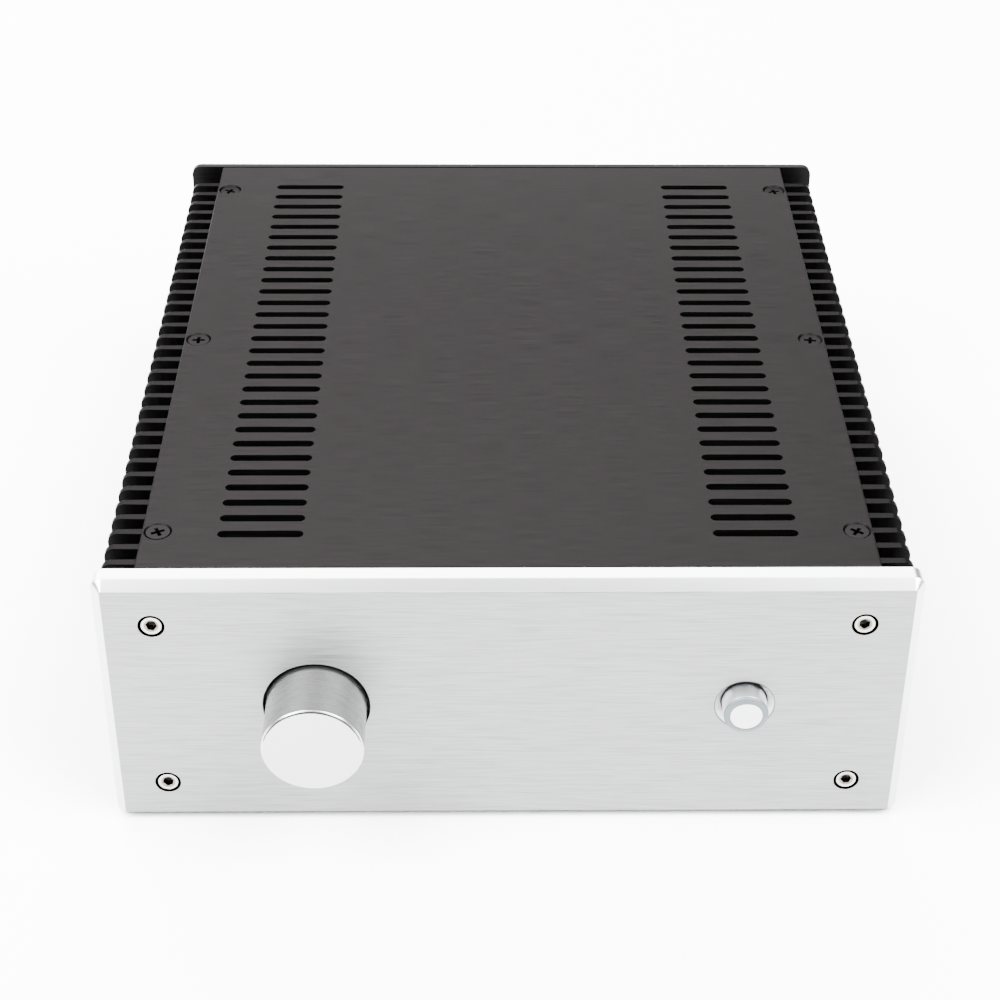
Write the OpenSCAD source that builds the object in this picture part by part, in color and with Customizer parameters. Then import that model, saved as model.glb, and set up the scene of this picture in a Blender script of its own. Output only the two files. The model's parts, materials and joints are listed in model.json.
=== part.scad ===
// Amplifier enclosure: a thick bevelled front panel, a thin rear panel, two finned heat sinks as
// side walls, a slotted cover and a slotted base plate, with a volume knob, a power button, and
// the sockets at the back. X runs to the right, Y to the rear, Z up. The origin is the middle of
// the case's footprint, on the plane that it rests on.

/* [Case] */
// Width over the front panel
case_w = 240; // [215:1:320]
// Depth from the front panel's face to the rear panel's outer face
case_d = 271; // [230:1:360]
// Height of the front and rear panels
case_h = 90; // [84:1:140]
// Rounding of the panels' outline corners
corner_r = 3.5; // [3.25:0.25:6]

/* [Front panel] */
// Thickness of the front panel
front_t = 8; // [7.5:0.5:12]
// Bevel round the front panel's face
front_bevel = 3; // [1:0.25:3]
// Knob axis inside the panel's left side edge
knob_inset = 63.1; // [52:0.1:72]
// Button axis inside the panel's right side edge
button_inset = 49.8; // [46:0.1:62]
// Thickness left behind the knob's recess
knob_web = 3; // [2:0.5:4]
// Gap round the knob in its recess
knob_gap = 1; // [0.5:0.1:2]
// Gap round the button in its hole
button_gap = 0.35; // [0.3:0.05:0.8]
// Bevel of the button hole's mouth
button_mouth = 2; // [0.5:0.25:2.5]

/* [Rear panel] */
// Thickness of the rear panel
rear_t = 3; // [2:0.5:4]
// Bevel round the rear panel's outer face
rear_bevel = 0.5; // [0.2:0.1:1]

/* [Heat sinks] */
// How far the fin tips stay inside the panels' side edges
fin_inset = 1; // [0.5:0.5:5]
// Length of a fin outside the base
fin_len = 11; // [6:0.5:14]
// Thickness of a fin at its root
fin_root_t = 2.6; // [2:0.1:3.2]
// Thickness of a fin at its tip
fin_tip_t = 2.2; // [1.4:0.1:3]
// Distance from one fin to the next
fin_pitch = 7.61; // [5.5:0.01:10]
// First fin's middle behind the heat sink's front end
fin_first = 7.2; // [4:0.1:12]
// Least room from the last fin's middle to the rear end
fin_last = 5; // [3:0.5:10]
// Rounding of the fins' outer top and bottom corners
fin_r = 3.25; // [1:0.25:5]
// Thickness of the heat sink's base
sink_base_t = 9.5; // [8.5:0.5:12]

/* [Cover and base plate] */
// Thickness of the top cover
cover_t = 3; // [2.5:0.5:5]
// Thickness of the base plate
base_t = 3; // [2.5:0.5:5]
// Gap from the cover and the base plate to each panel
cover_gap = 0.4; // [0.2:0.1:1]
// Bevel along the cover's and the base plate's edges
cover_bevel = 0.4; // [0.2:0.1:1]
// Length of a cooling slot
slot_len = 25.3; // [12:0.1:40]
// Width of a cooling slot
slot_w = 3.3; // [2:0.1:4.5]
// Distance from one slot to the next
slot_pitch = 8.06; // [6:0.01:12]
// First slot's middle behind the front panel
slot_first = 16.8; // [10:0.1:30]
// Slots' middle inside the cover's side edge
slot_inset = 35; // [32:0.5:45]
// Foot holes' distance inside the case's side edges
foot_side_inset = 70; // [66:0.5:84]
// Foot holes' distance inside the front and rear faces
foot_end_inset = 35.5; // [30:0.5:60]
// Diameter of a foot hole
foot_hole_d = 4.3; // [3:0.1:6]

/* [Case screws] */
// Diameter of the screws' shanks
screw_d = 4; // [3:0.5:4.5]
// Clearance round a shank in the panel that it passes
screw_slack = 0.3; // [0.2:0.05:0.5]
// Clearance round a shank in its tapped hole
tap_slack = 0.05; // [0.03:0.01:0.1]
// Front and rear screws' distance from the panels' top and bottom edges
screw_edge = 15; // [14:0.5:20]
// Depth of a tapped hole in a heat sink
tap_depth = 14; // [12:0.5:15]
// Length of a shank inside its tapped hole
screw_bite = 11; // [6:0.5:11.5]
// Diameter of a front screw's head
cap_head_d = 6.6; // [6:0.1:7.5]
// Height of a front screw's head
cap_head_h = 4; // [3:0.25:4.5]
// Gap round a front screw's head
cap_head_gap = 0.6; // [0.2:0.1:1]
// Depth of a front screw's head below the panel's face
cap_head_sink = 0.3; // [0:0.1:0.6]
// Width across the flats of the front screws' sockets
cap_socket = 3; // [2.5:0.5:3.5]
// Diameter of a cover screw's head
flat_head_d = 7.2; // [6.5:0.1:8]
// Depth of a cover screw's head below the cover
flat_head_sink = 0.5; // [0:0.1:0.6]
// Clearance round a cover screw's head at the surface
flat_head_gap = 0.1; // [0.05:0.05:0.2]
// First cover screw behind the front panel
cover_screw_first = 18.2; // [18:0.1:30]
// Last cover screw before the rear panel
cover_screw_last = 19.8; // [18:0.1:30]
// Diameter of a rear screw's head
dome_head_d = 7.6; // [6.5:0.1:9]
// Height of a rear screw's head
dome_head_h = 2.2; // [1.5:0.1:3]

/* [Volume knob] */
// Diameter of the knob
knob_d = 29.8; // [24:0.1:36]
// How far the knob stands out of the panel
knob_out = 20; // [14:0.5:30]
// Bevel of the knob's rim
knob_bevel = 0.6; // [0.3:0.1:1.5]
// Gap behind the knob to the recess's floor
knob_float = 2; // [1:0.25:2.5]
// Diameter of the hollow in the knob's back
knob_hollow_d = 17; // [16:0.5:20]
// Depth of the hollow in the knob's back
knob_hollow = 5.5; // [5:0.5:8]

/* [Volume control] */
// Diameter of the volume control's shaft
shaft_d = 6; // [4:0.5:6]
// Clearance round the turning shaft
shaft_slack = 0.05; // [0.02:0.01:0.09]
// Length of the shaft inside the knob
shaft_in_knob = 9.5; // [6:0.5:11]
// Diameter of the volume control's body
pot_d = 24; // [18:1:30]
// Length of the volume control's body
pot_len = 14; // [11:0.5:22]
// Diameter of the threaded neck
pot_neck_d = 7.8; // [7:0.1:8.5]
// Length of the neck in front of the recess's floor
pot_neck_out = 4; // [3.5:0.25:4.5]

/* [Power button] */
// Diameter of the button
button_d = 13.3; // [11:0.1:15]
// How far the light ring's outer edge stands out of the panel
button_out = 5; // [4:0.25:8]
// Width of the light ring
ring_w = 1.8; // [1:0.1:2.5]
// Rise of the light ring towards the disc
ring_rise = 0.5; // [0.2:0.1:1]
// How deep the light ring reaches into the cap
ring_depth = 0.8; // [0.6:0.1:3]
// Travel of the button
button_travel = 3; // [1:0.25:3.5]
// Diameter of the button's stem
stem_d = 5; // [3:0.5:6]
// Rear plate of the switch bracket behind the front panel
bracket_back = 15; // [13:0.5:24]
// Thickness of the bracket's sheet
bracket_t = 1.5; // [1:0.25:2]
// Room inside the bracket's legs
bracket_room = 26; // [24:1:30]
// Height of the bracket's sheet
bracket_h = 16; // [14:1:24]
// Side of the square switch body
switch_side = 13; // [12:0.5:16]
// Length of the switch body
switch_len = 20; // [16:0.5:26]

/* [Mains inlet] */
// Inlet's middle inside the left heat sink's inner face
inlet_inset = 26.5; // [25.5:0.5:40]
// Width of the inlet's body
inlet_w = 27; // [26.5:0.1:29]
// Height of the inlet's body
inlet_h = 19.8; // [19.4:0.1:22]
// Width of the cavity for the mains connector
cavity_w = 24.4; // [24:0.1:24.6]
// Height of the cavity for the mains connector
cavity_h = 16.6; // [16.2:0.1:17]
// Depth of the cavity
cavity_depth = 15.5; // [14:0.5:17]
// Distance between the inlet's screws
inlet_screw_span = 40; // [38:0.5:42]
// Thickness of the inlet's flange
inlet_flange_t = 3; // [2.5:0.25:4]

/* [Signal sockets] */
// Signal sockets' axis to the left of the middle, seen from the front
phono_x = 18; // [10:0.5:26]
// Distance between the two signal sockets
phono_span = 24; // [18:0.5:36]
// Diameter of a signal socket's barrel
phono_barrel_d = 8.3; // [8.2:0.05:8.4]
// Length of a signal socket's barrel
phono_barrel = 9; // [8:0.5:11]

/* [Speaker terminals] */
// Outermost speaker terminal inside the right heat sink's inner face
post_inset = 18.5; // [10:0.5:22]
// Distance between the terminals of one pair
post_pitch = 19; // [17:0.5:20]
// Diameter of a terminal's stud
post_stud_d = 6; // [4:0.5:7]
// Diameter of a terminal's screw cap
post_cap_d = 13; // [11:0.5:14]
// Length of a terminal's screw cap
post_cap_len = 15; // [12:0.5:20]
// Thickness of a terminal's insulating collar
post_collar_t = 4; // [2.5:0.25:6]

/* [Hidden] */
$fn = 64;

eps = 0.5; // overshoot of every cutting tool

front_y = -case_d / 2;
rear_y = case_d / 2;
mid_z = case_h / 2;
inner_y = front_y + front_t;
side_len = case_d - front_t - rear_t;

fin_tip_x = case_w / 2 - fin_inset;
sink_out_x = fin_tip_x - fin_len;
sink_in_x = sink_out_x - sink_base_t;
sink_h = case_h - base_t - cover_t;
screw_x = (sink_in_x + sink_out_x) / 2;
fin_count = floor((side_len - fin_first - fin_last) / fin_pitch) + 1;

knob_x = case_w / 2 - knob_inset;
button_x = case_w / 2 - button_inset;
inlet_x = sink_in_x - inlet_inset;
foot_x = case_w / 2 - foot_side_inset;
foot_y = case_d / 2 - foot_end_inset;

loose_fit = 0.2; // on the diameter, of a hole that a fixed piece passes
snug_fit = 0.1; // on the diameter, of a nut or a bracket on its thread

plate_w = 2 * sink_out_x;
plate_len = side_len - 2 * cover_gap;
plate_corner_rest = 0.2;
plate_corner_r = cover_bevel + plate_corner_rest;
fin_bury = 1;
slot_x = sink_out_x - slot_inset;
slot_count = floor((side_len - 2 * slot_first) / slot_pitch) + 1;
plate_screw_y = [cover_screw_first, (cover_screw_first + side_len - cover_screw_last) / 2,
    side_len - cover_screw_last];
panel_screw_z = [screw_edge, case_h - screw_edge];

tap_d = screw_d + 2 * tap_slack;
pass_d = screw_d + 2 * screw_slack;
cap_bore_d = cap_head_d + 2 * cap_head_gap;
head_bevel = 0.5;
cap_socket_share = 0.6; // of the head's height
dome_socket = 2.5;
dome_socket_depth = 1.6;
dome_step = 10; // degrees from one point of the dome's curve to the next
cross_span = 0.6; // of the head's diameter
cross_arm = 0.15; // of the head's diameter
cross_depth = 0.28; // of the head's diameter
cross_floor = 0.4; // of the recess's span, left at its floor
turn_middle = 40; // degrees that the cover screws' recesses are turned
turn_side = 15;
turn_step = 25;

recess_depth = front_t - knob_web;
knob_back = recess_depth - knob_float;
neck_tip = recess_depth - pot_neck_out;
pot_washer_t = 0.8;
pot_washer_d = 12;
pot_nut_t = 2;
pot_nut_af = 11;
pot_round = 1;
thread_lead = 0.4;
shaft_lead = 0.5;
shaft_end_gap = 0.5;
can_floor = 2.5;
tag_rows = [4.5, 9.5];
tag_pitch = 5;
tag_w = 1.5;
tag_t = 0.6;
tag_len = 5;
tag_bury = 3;
set_screw_d = 3;
set_screw_len = 6;
set_socket = 1.5;
set_socket_depth = 1.5;
set_screw_shift = 2;
set_screw_y = -knob_out / 2 + set_screw_shift;
shaft_tip = knob_back - knob_hollow - shaft_in_knob;

button_hole_d = button_d + 2 * button_gap;
disc_d = button_d - 2 * ring_w;
stop_flange_lip = 1.5;
stop_flange_d = button_hole_d + 2 * stop_flange_lip;
ring_fit = 0.05;
ring_flat = 0.65;
ring_edge = 0.25;
ring_drop = 0.4;
ring_knee = 0.45; // of the ring's rise, where its flat edge ends
disc_edge = 0.5;
disc_drop = 0.15;
stop_flange_t = 1.5;
stop_gap = 0.3;
cap_back = front_t + stop_gap + stop_flange_t;
bracket_y = front_t + bracket_back;
bracket_foot = 9;
bracket_screw_x = bracket_room / 2 + bracket_t + bracket_foot / 2;
switch_neck_d = 10;
switch_neck_len = 3.5;
switch_neck_bury = 1;
switch_nut_t = 1.8;
switch_nut_af = 14;
stem_in_switch = 12;
stem_room = 1;
stem_in_cap = 7.5;
stem_end_gap = 0.5;
bracket_screw_bite = 4;
bracket_tap_spare = 0.5;
switch_tag_span = 7;
switch_tag_w = 0.8;
switch_tag_h = 2;
switch_tag_len = 5;

inlet_lip = 1.5;
inlet_flange_h = inlet_h + 2 * inlet_lip;
inlet_slack = 0.3;
inlet_corner_r = 1.5;
inlet_flange_r = 2;
inlet_ear = 5;
inlet_ear_h = 11;
cavity_cut = 5;
blade_w = 2;
blade_h = 4;
blade_pitch = 7;
blade_offset = 2;
inlet_wall = 2;
inlet_back = inlet_flange_t - cavity_depth - inlet_wall;
blade_tail = 7;
blade_tip_depth = 4;
small_screw_d = 3;
small_screw_pass = 0.4;
small_flat_head_d = 5.7;
small_head_d = 5.8;
small_head_h = 2;
small_head_edge = 0.7;
small_head_side = 1.2;
small_recess = 3;
small_recess_arm = 0.81;
small_recess_depth = 1.2;
small_nut_af = 5.5;
small_nut_t = 2.4;
inlet_screw_end = 5;

phono_bush_d = 9.5;
phono_tail_d = 6.4;
phono_tail = 11;
phono_core_d = 6.4;
phono_pin_d = 3.3;
phono_rim_d = 13;
phono_rim_t = 1.6;
phono_washer_t = 1.2;
phono_nut_af = 10;
phono_nut_t = 2.2;
phono_lip_d = 11.4;
phono_lip_t = 1.4;
phono_step = 1;
phono_edge = 0.4;
phono_fit = 0.05;
phono_core_tail = 3;
phono_core_recess = 1;
phono_pin_depth = 8;

post_bush_d = 8.6;
post_stud_out = 17;
post_stud_in = 13;
post_pair_gap = 1;
post_shift = [-3 * post_pitch - post_pair_gap, -2 * post_pitch - post_pair_gap, -post_pitch, 0];
post_gap = 0.3;
post_fit = 0.05;
post_collar_lip = 1;
post_collar_d = post_cap_d + 2 * post_collar_lip;
post_collar_edge = 0.8;
post_stud_edge = 0.5;
post_wire_rise = 2;
post_wire_share = 0.4; // of the stud's diameter
post_cap_edge = 0.6;
post_cap_round = 2.5;
post_cap_shoulder = 0.3; // of the rounding, at its middle
post_bore_spare = 1;
post_washer_t = 2;
post_washer_in = 1;
post_nut_t = 3;
post_nut_wall = 2;
flute_count = 16;
flute_r = 0.9;
flute_out = 0.45;
flute_start = 3;

// A flat outline with rounded corners, centred
module rounded_outline(w, h, r) {
    square([w - 2 * r, h], center = true);
    square([w, h - 2 * r], center = true);
    for (x = [-1, 1], y = [-1, 1]) translate([x * (w / 2 - r), y * (h / 2 - r)]) circle(r);
}

// An outline drawn in X and Z, given its thickness towards the rear
module upright(t) rotate([90, 0, 0]) translate([0, 0, -t]) linear_extrude(t) children();

// An upright plate whose face at y = 0 has a bevel all round
module bevelled_panel(w, h, t, r, b) {
    translate([0, b, 0]) upright(t - b) rounded_outline(w, h, r);
    rotate([90, 0, 90]) linear_extrude(w - 2 * r, center = true)
        polygon([[0, b - h / 2], [b, -h / 2], [b, h / 2], [0, h / 2 - b]]);
    linear_extrude(h - 2 * r, center = true)
        polygon([[b - w / 2, 0], [-w / 2, b], [w / 2, b], [w / 2 - b, 0]]);
    for (x = [-1, 1], z = [-1, 1]) translate([x * (w / 2 - r), 0, z * (h / 2 - r)])
        rotate([-90, 0, 0]) cylinder(h = b, r1 = r - b, r2 = r);
}

// A straight hole towards the rear, from y0 to y1 behind the front panel's face
module hole_back(x, z, d, y0, y1) translate([x, front_y + y0, z]) rotate([-90, 0, 0])
    cylinder(h = y1 - y0, d = d);

// Places children at the four screws of a panel
module at_panel_screws() for (x = [-screw_x, screw_x], z = panel_screw_z) translate([x, 0, z]) children();

// Places children at the six screws of the cover or the base plate, each turned its own way
module at_plate_screws() for (side = [-1, 1], i = [0 : 2])
    translate([side * screw_x, inner_y + plate_screw_y[i], 0])
        rotate([0, 0, turn_middle + side * (turn_side + turn_step * i)]) children();

// Places children at the four speaker terminals
module at_post(i) translate([sink_in_x - post_inset + post_shift[i], rear_y, mid_z]) children();
module at_all_posts() for (i = [0 : 3]) at_post(i) children();

// A socket-head screw with its head's top at z = 0
module cap_screw(length) difference() {
    rotate_extrude() polygon([[0, 0], [cap_head_d / 2 - head_bevel, 0], [cap_head_d / 2, -head_bevel],
        [cap_head_d / 2, -cap_head_h], [screw_d / 2, -cap_head_h], [screw_d / 2, -cap_head_h - length],
        [0, -cap_head_h - length]]);
    translate([0, 0, -cap_head_h * cap_socket_share])
        cylinder(h = cap_head_h, d = cap_socket / cos(30), $fn = 6);
}

// A cross recess that narrows with depth, cut from z = 0 down
module cross_recess(span, width, depth) for (a = [0, 90]) rotate([90, 0, a])
    linear_extrude(width, center = true)
        polygon([[-span / 2, 0], [-span / 2, eps], [span / 2, eps], [span / 2, 0],
            [span / 2 * cross_floor, -depth], [-span / 2 * cross_floor, -depth]]);

// A countersunk screw with its head's top at z = 0
module flat_screw(head_d, shank_d, length) difference() {
    rotate_extrude() polygon([[0, 0], [head_d / 2, 0], [shank_d / 2, -(head_d - shank_d) / 2],
        [shank_d / 2, -length], [0, -length]]);
    cross_recess(head_d * cross_span, head_d * cross_arm, head_d * cross_depth);
}

// The cut for a countersunk head, for a surface at z = 0 with the head below it by sink
module flat_screw_cut(head_d, through_d, sink, through) {
    mouth = head_d / 2 + flat_head_gap + sink;
    rotate_extrude() polygon([[0, eps], [mouth + eps, eps], [through_d / 2, through_d / 2 - mouth],
        [through_d / 2, -through - eps], [0, -through - eps]]);
}

// A hexagon nut from z = 0 up
module hex_nut(af, t, bore) difference() {
    cylinder(h = t, d = af / cos(30), $fn = 6);
    translate([0, 0, -eps]) cylinder(h = t + 2 * eps, d = bore);
}

// A flat washer from z = 0 up
module washer(d, t, bore) difference() {
    cylinder(h = t, d = d);
    translate([0, 0, -eps]) cylinder(h = t + 2 * eps, d = bore);
}

// Front panel: four counterbored screw holes, the knob's recess and the button's hole
module front_panel() color("gainsboro") difference() {
    translate([0, front_y, mid_z]) bevelled_panel(case_w, case_h, front_t, corner_r, front_bevel);
    at_panel_screws() {
        hole_back(0, 0, cap_bore_d, -eps, cap_head_h + cap_head_sink);
        hole_back(0, 0, pass_d, 0, front_t + eps);
    }
    hole_back(-knob_x, mid_z, knob_d + 2 * knob_gap, -eps, recess_depth);
    hole_back(-knob_x, mid_z, pot_neck_d + loose_fit, 0, front_t + eps);
    hole_back(button_x, mid_z, button_hole_d, -eps, front_t + eps);
    translate([button_x, front_y - eps, mid_z]) rotate([-90, 0, 0])
        cylinder(h = button_mouth + eps, d1 = button_hole_d + 2 * (button_mouth + eps), d2 = button_hole_d);
    for (side = [-1, 1]) hole_back(button_x + side * bracket_screw_x, mid_z, small_screw_d + 2 * tap_slack,
        front_t - bracket_screw_bite - bracket_tap_spare, front_t + eps);
}

// Rear panel: screw holes and the cut-outs for the inlet and the sockets
module rear_panel() color("#2b2b2d") difference() {
    translate([0, rear_y, mid_z]) rotate([0, 0, 180])
        bevelled_panel(case_w, case_h, rear_t, corner_r, rear_bevel);
    at_panel_screws() hole_back(0, 0, pass_d, case_d - rear_t - eps, case_d + eps);
    translate([-inlet_x, rear_y - rear_t - eps, mid_z]) {
        upright(rear_t + 2 * eps) rounded_outline(inlet_w + 2 * inlet_slack, inlet_h + 2 * inlet_slack,
            inlet_corner_r + inlet_slack);
        for (side = [-1, 1]) translate([side * inlet_screw_span / 2, 0, 0]) rotate([-90, 0, 0])
            cylinder(h = rear_t + 2 * eps, d = small_screw_d + 2 * screw_slack);
    }
    for (side = [-1, 1]) hole_back(-phono_x, mid_z + side * phono_span / 2, phono_bush_d + loose_fit,
        case_d - rear_t - eps, case_d + eps);
    at_all_posts() rotate([90, 0, 0]) translate([0, 0, -eps])
        cylinder(h = rear_t + 2 * eps, d = post_bush_d + loose_fit);
}

// Two columns of round-ended slots, seen from above, from the plate's front edge
module slot_columns() for (side = [-1, 1], i = [0 : slot_count - 1])
    translate([side * slot_x, inner_y + slot_first + i * slot_pitch]) {
        square([slot_len - slot_w, slot_w], center = true);
        for (end = [-1, 1]) translate([end * (slot_len - slot_w) / 2, 0]) circle(d = slot_w);
    }

// A slotted plate with its bevelled face at z = 0 and its thickness below
module slotted_plate(t) difference() {
    intersection() {
        translate([0, inner_y + side_len / 2, 0]) rotate([-90, 0, 0])
            bevelled_panel(plate_w, plate_len, t, plate_corner_r, cover_bevel);
        translate([0, 0, -t - eps]) linear_extrude(t + 2 * eps) difference() {
            translate([-case_w / 2, front_y]) square([case_w, case_d]);
            slot_columns();
        }
    }
    at_plate_screws() flat_screw_cut(flat_head_d, pass_d, flat_head_sink, t);
}

module top_cover() color("#38373a") translate([0, 0, case_h]) slotted_plate(cover_t);

// Base plate: the same plate turned over, with four plain holes for feet
module base_plate() color("#38373a") difference() {
    mirror([0, 0, 1]) slotted_plate(base_t);
    for (x = [-1, 1], y = [-1, 1]) translate([x * foot_x, y * foot_y, -eps])
        cylinder(h = base_t + 2 * eps, d = foot_hole_d);
}

// Heat sink's outline seen from above: a thick base with tapered fins, from its front end
module heatsink_outline() {
    square([sink_base_t, side_len]);
    for (i = [0 : fin_count - 1]) translate([sink_base_t, fin_first + i * fin_pitch])
        polygon([[-fin_bury, -fin_root_t / 2], [0, -fin_root_t / 2], [fin_len, -fin_tip_t / 2],
            [fin_len, fin_tip_t / 2], [0, fin_root_t / 2], [-fin_bury, fin_root_t / 2]]);
}

// Heat sink's outline seen from the front, with the outer corners rounded
module heatsink_front() {
    span = sink_base_t + fin_len;
    translate([0, fin_r]) square([span, sink_h - 2 * fin_r]);
    square([span - fin_r, sink_h]);
    for (z = [fin_r, sink_h - fin_r]) translate([span - fin_r, z]) circle(fin_r);
}

module heatsink() difference() {
    intersection() {
        translate([sink_in_x, inner_y, base_t]) linear_extrude(sink_h) heatsink_outline();
        translate([sink_in_x, inner_y, base_t]) upright(side_len) heatsink_front();
    }
    for (z = panel_screw_z) {
        hole_back(screw_x, z, tap_d, front_t - eps, front_t + tap_depth);
        hole_back(screw_x, z, tap_d, case_d - rear_t - tap_depth, case_d - rear_t + eps);
    }
    for (y = plate_screw_y) translate([screw_x, inner_y + y, 0]) {
        translate([0, 0, base_t - eps]) cylinder(h = tap_depth + eps, d = tap_d);
        translate([0, 0, case_h - cover_t - tap_depth]) cylinder(h = tap_depth + eps, d = tap_d);
    }
}

module right_heatsink() color("#2a2a2c") heatsink();
module left_heatsink() color("#2a2a2c") mirror([1, 0, 0]) heatsink();

module front_screws() color("silver") at_panel_screws()
    translate([0, front_y + cap_head_sink, 0]) rotate([90, 0, 0])
        cap_screw(front_t - cap_head_sink - cap_head_h + screw_bite);

// Rear screws: domed heads on the outside of the rear panel
module rear_screws() color("#1c1c1e") at_panel_screws() translate([0, rear_y, 0]) rotate([-90, 0, 0])
    difference() {
        rotate_extrude() polygon(concat([[0, -rear_t - screw_bite], [screw_d / 2, -rear_t - screw_bite],
            [screw_d / 2, 0]],
            [for (a = [0 : dome_step : 90]) [dome_head_d / 2 * cos(a), dome_head_h * sin(a)]]));
        translate([0, 0, dome_head_h - dome_socket_depth])
            cylinder(h = dome_socket_depth + eps, d = dome_socket / cos(30), $fn = 6);
    }

module cover_screws() color("#202022") translate([0, 0, case_h - flat_head_sink]) at_plate_screws()
    flat_screw(flat_head_d, screw_d, cover_t - flat_head_sink + screw_bite);

module base_screws() color("#202022") translate([0, 0, flat_head_sink]) mirror([0, 0, 1])
    at_plate_screws() flat_screw(flat_head_d, screw_d, base_t - flat_head_sink + screw_bite);

// Turned parts of the knob's axis: y runs to the rear from the front panel's face
module on_knob_axis() translate([-knob_x, front_y, mid_z]) rotate([-90, 0, 0]) children();

// Knob: a plain turned cylinder with a bevelled flat face, a hollow back and a bore for the shaft
module volume_knob() color("#e4e4e4") difference() {
    on_knob_axis() difference() {
        rotate_extrude($fn = 96) polygon([[0, -knob_out], [knob_d / 2 - knob_bevel, -knob_out],
            [knob_d / 2, -knob_out + knob_bevel], [knob_d / 2, knob_back], [knob_hollow_d / 2, knob_back],
            [knob_hollow_d / 2, knob_back - knob_hollow], [0, knob_back - knob_hollow]]);
        translate([0, 0, shaft_tip - shaft_end_gap])
            cylinder(h = shaft_in_knob + shaft_end_gap + eps, d = shaft_d + 2 * shaft_slack);
    }
    translate([-knob_x, front_y + set_screw_y, mid_z - knob_d / 2 - eps])
        cylinder(h = knob_d / 2 + eps, d = set_screw_d + 2 * tap_slack);
}

// Set screw: bears on the shaft from below
module knob_set_screw() color("#303032")
    translate([-knob_x, front_y + set_screw_y, mid_z - shaft_d / 2 - shaft_slack - set_screw_len])
        difference() {
            cylinder(h = set_screw_len, d = set_screw_d);
            translate([0, 0, -eps]) cylinder(h = set_socket_depth + eps, d = set_socket / cos(30), $fn = 6);
        }

module pot_shaft() color("silver") on_knob_axis() rotate_extrude()
    polygon([[0, shaft_tip], [shaft_d / 2 - shaft_lead, shaft_tip], [shaft_d / 2, shaft_tip + shaft_lead],
        [shaft_d / 2, front_t + pot_len - can_floor - shaft_end_gap],
        [0, front_t + pot_len - can_floor - shaft_end_gap]]);

// Volume control: a closed can behind the panel with a threaded neck through it
module pot_body() color("#8f9296") on_knob_axis() difference() {
    rotate_extrude() polygon([[0, neck_tip], [pot_neck_d / 2 - thread_lead, neck_tip],
        [pot_neck_d / 2, neck_tip + thread_lead],
        [pot_neck_d / 2, front_t], [pot_d / 2 - pot_round, front_t], [pot_d / 2, front_t + pot_round],
        [pot_d / 2, front_t + pot_len], [0, front_t + pot_len]]);
    translate([0, 0, neck_tip - eps])
        cylinder(h = front_t + pot_len - can_floor - neck_tip + eps, d = shaft_d + 2 * shaft_slack);
}

module pot_washer() color("silver") on_knob_axis() translate([0, 0, recess_depth - pot_washer_t])
    washer(pot_washer_d, pot_washer_t, pot_neck_d + loose_fit);

module pot_nut() color("silver") on_knob_axis()
    translate([0, 0, recess_depth - pot_washer_t - pot_nut_t])
        hex_nut(pot_nut_af, pot_nut_t, pot_neck_d + snug_fit);

// Solder tags in two rows under the volume control's body
module pot_terminals() color("tan") difference() {
    for (row = tag_rows, side = [-1, 0, 1])
        translate([-knob_x + side * tag_pitch - tag_w / 2, inner_y + row, mid_z - pot_d / 2 - tag_len])
            cube([tag_w, tag_t, tag_len + tag_bury]);
    hole_back(-knob_x, mid_z, pot_d + 2 * tap_slack, front_t, front_t + pot_len + eps);
}

// Turned parts of the button's axis
module on_button_axis() translate([button_x, front_y, mid_z]) rotate([-90, 0, 0]) children();

// Button cap: a tube-fronted cylinder with a stop flange behind the panel and a bore for the stem
module button_cap() color("#d5d8da") on_button_axis() difference() {
    rotate_extrude() polygon([[0, -button_out + ring_depth], [button_d / 2, -button_out + ring_depth],
        [button_d / 2, front_t + stop_gap], [stop_flange_d / 2, front_t + stop_gap],
        [stop_flange_d / 2, cap_back], [0, cap_back]]);
    translate([0, 0, cap_back - stem_in_cap - stem_end_gap])
        cylinder(h = stem_in_cap + stem_end_gap + eps, d = stem_d + 2 * shaft_slack);
}

// Light ring: frosted, wider than the disc, with a face that rises towards the disc
module button_light_ring() color("#b9ccd4") on_button_axis() rotate_extrude()
    polygon([[disc_d / 2 + ring_fit, -button_out + ring_depth],
        [disc_d / 2 + ring_fit, -button_out - ring_rise],
        [button_d / 2 - ring_edge - ring_flat, -button_out - ring_rise * ring_knee],
        [button_d / 2 - ring_edge, -button_out],
        [button_d / 2, -button_out + ring_drop], [button_d / 2, -button_out + ring_depth]]);

module button_disc() color("white") on_button_axis() rotate_extrude()
    polygon([[0, -button_out - ring_rise], [disc_d / 2 - disc_edge, -button_out - ring_rise],
        [disc_d / 2, -button_out - ring_rise + disc_drop], [disc_d / 2, -button_out + ring_depth],
        [0, -button_out + ring_depth]]);

module button_stem() color("silver") on_button_axis() translate([0, 0, cap_back - stem_in_cap])
    cylinder(h = bracket_y + stem_in_switch - cap_back + stem_in_cap - button_travel, d = stem_d);

// Switch: a moulded body behind the bracket with a threaded neck through the bracket's plate
module switch_body() color("#26282b") translate([button_x, front_y + bracket_y, mid_z]) difference() {
    union() {
        translate([-switch_side / 2, bracket_t, -switch_side / 2])
            cube([switch_side, switch_len, switch_side]);
        translate([0, bracket_t + switch_neck_bury, 0]) rotate([90, 0, 0])
            cylinder(h = switch_neck_len + bracket_t + switch_neck_bury, d = switch_neck_d);
    }
    translate([0, stem_in_switch + stem_room, 0]) rotate([90, 0, 0])
        cylinder(h = stem_in_switch + stem_room + switch_neck_len + eps, d = stem_d + 2 * shaft_slack);
}

module switch_nut() color("silver") translate([button_x, front_y + bracket_y, mid_z]) rotate([90, 0, 0])
    hex_nut(switch_nut_af, switch_nut_t, switch_neck_d + snug_fit);

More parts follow.
